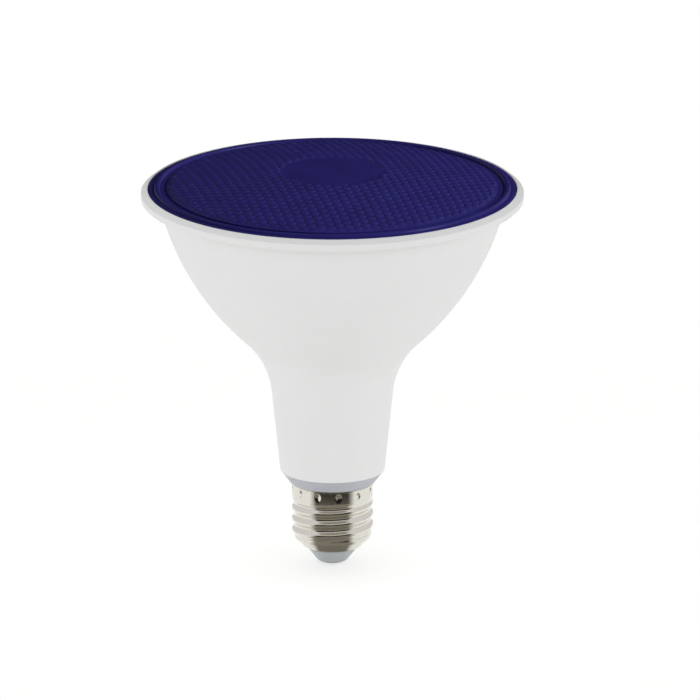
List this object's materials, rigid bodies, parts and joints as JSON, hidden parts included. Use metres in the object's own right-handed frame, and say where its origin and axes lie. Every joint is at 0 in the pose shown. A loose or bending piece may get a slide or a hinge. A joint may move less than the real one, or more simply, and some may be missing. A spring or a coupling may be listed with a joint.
{
  "type": "par spotlight bulb",
  "caption": "Reflector-shaped LED spotlight bulb: blue domed prismatic lens, white funnel housing with a flanged rim, grey collar and nickel screw cap.",
  "frame": {"origin": "centre of the centre contact's flat face at the cap's end", "axes": "+Z along the lamp's axis from the cap towards the lens; +Y away from the viewer, +X to the right"},
  "size_m": [0.122, 0.122, 0.1302],
  "materials": {
    "housing_plastic": "satin moulded",
    "lens_plastic": "clear-tinted gloss, moulded prisms",
    "silicone": "matte",
    "sink_aluminium": "pressed sheet, bare",
    "board_enamel": "white solder mask",
    "light_package": "gloss",
    "screw_steel": "zinc plated",
    "terminal_plastic": "moulded",
    "cup_plastic": "satin moulded",
    "circuit_board": "green solder mask",
    "ferrite": "matte ceramic and tape",
    "capacitor_sleeve": "shrink sleeve",
    "choke_sleeve": "shrink sleeve",
    "film_case": "moulded case",
    "resistor_enamel": "fired enamel",
    "chip_epoxy": "moulded epoxy",
    "tinned_wire": "tinned",
    "red_insulation": "extruded",
    "black_insulation": "extruded",
    "cap_nickel": "rolled and nickel plated",
    "insulator_plastic": "moulded",
    "contact_metal": "tinned brass"
  },
  "bodies": {
    "root": {"housing": "housing_plastic", "front_lens": "lens_plastic", "lens_gasket": "silicone", "heat_sink_cup": "sink_aluminium", "led_board": "board_enamel", "led_packages": "light_package", "board_screws": "screw_steel", "board_connector": "terminal_plastic", "driver_cup": "cup_plastic", "driver_lid": "cup_plastic", "driver_board": "circuit_board", "transformer": "ferrite", "input_capacitor": "capacitor_sleeve", "output_capacitor": "capacitor_sleeve", "input_choke": "choke_sleeve", "film_capacitor": "film_case", "fuse_resistor": "resistor_enamel", "bridge_rectifier": "chip_epoxy", "driver_chip": "chip_epoxy", "contact_wire": "tinned_wire", "shell_wire": "tinned_wire", "led_wire_positive": "red_insulation", "led_wire_negative": "black_insulation", "cap_shell": "cap_nickel", "cap_insulator": "insulator_plastic", "centre_contact": "contact_metal"}
  },
  "joints": []
}
